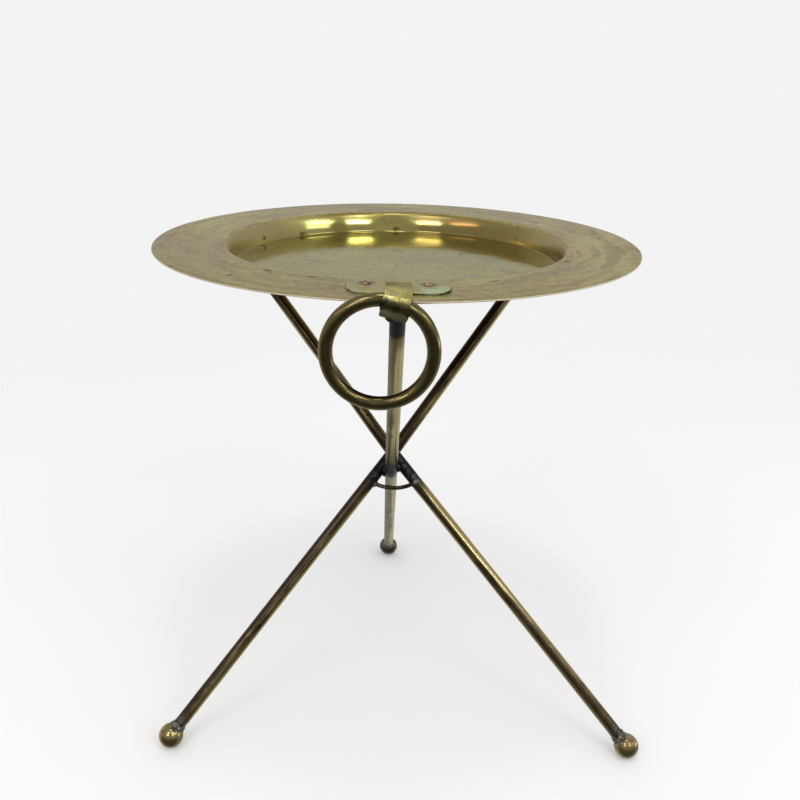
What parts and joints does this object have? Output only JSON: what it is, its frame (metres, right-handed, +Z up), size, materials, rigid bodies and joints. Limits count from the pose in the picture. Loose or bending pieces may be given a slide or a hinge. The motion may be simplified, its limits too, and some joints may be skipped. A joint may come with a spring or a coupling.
{
  "type": "tray table",
  "caption": "Low round tray table: a brass dish with a recessed middle on crossed rod legs with ball feet, and a ring handle that hangs from a strap at the rim.",
  "frame": {"origin": "the middle of the table's own bounding box, on the floor under it", "axes": "+Z up, the handle on the -Y side, +X to the right of someone facing the handle"},
  "size_m": [0.4602, 0.4818, 0.4814],
  "materials": {
    "dish_brass": "brushed, dull olive patina with brown spots; bright in the well",
    "pale_rod_brass": "worn pale brass with brown specks, black at its upper end",
    "dark_rod_brass": "dark brown patina rubbed through to brass in streaks",
    "ball_brass": "semi-polished, rubbed",
    "solder": "dull grey soft solder",
    "dark_wire": "dark tarnish",
    "copper": "semi-polished copper",
    "handle_brass": "rubbed brass with green verdigris in the corners",
    "ring_brass": "dark olive-brown patina, rubbed on the outside"
  },
  "bodies": {
    "table": {"ball_foot_back": "ball_brass", "ball_foot_front_left": "ball_brass", "ball_foot_front_right": "ball_brass", "ball_solder_back": "solder", "ball_solder_front_left": "solder", "ball_solder_front_right": "solder", "crossing_solder": "solder", "handle_plate": "handle_brass", "handle_rivets": "copper", "handle_strap": "handle_brass", "leg_back": "pale_rod_brass", "leg_front_left": "dark_rod_brass", "leg_front_right": "dark_rod_brass", "rim_solder_back": "solder", "rim_solder_front_left": "solder", "rim_solder_front_right": "solder", "strap_solder": "solder", "tie_wire": "dark_wire", "tie_wire_solder": "solder", "tray_dish": "dish_brass"},
    "handle_ring": {"ring_handle": "ring_brass"}
  },
  "joints": [
    {"name": "ring_swing", "type": "hinge", "parent": "table", "child": "handle_ring", "pos_m": [-0.01163, -0.2328, 0.471], "axis": [-0.9613, 0, 0.2756], "range_deg": [-18, 204]}
  ]
}
